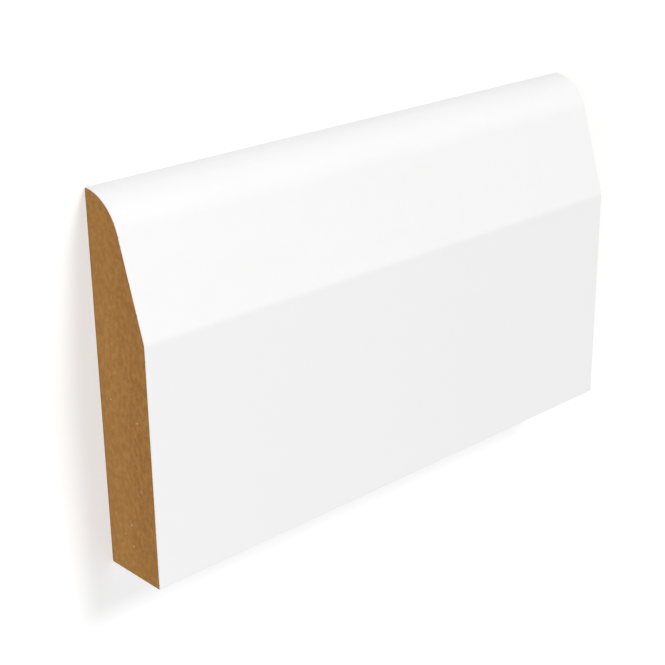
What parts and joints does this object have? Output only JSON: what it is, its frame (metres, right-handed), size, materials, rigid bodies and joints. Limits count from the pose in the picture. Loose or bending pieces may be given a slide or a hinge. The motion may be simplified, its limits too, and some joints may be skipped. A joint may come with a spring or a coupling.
{
  "type": "chamfer and round moulding",
  "caption": "Short length of white primed MDF moulding with a plain flat face, a shallow chamfer and a rounded nosing, for use as skirting or architrave.",
  "frame": {"origin": "centre of the flat back, on the surface that the moulding lies on", "axes": "+X along the length, from the end that the picture shows to the far end; +Y across the width, from the square edge to the rounded crown; +Z through the thickness, from the back up to the face"},
  "size_m": [0.155, 0.09, 0.018],
  "materials": {
    "primed_mdf": "satin"
  },
  "bodies": {
    "root": {"moulding": "primed_mdf"}
  },
  "joints": []
}
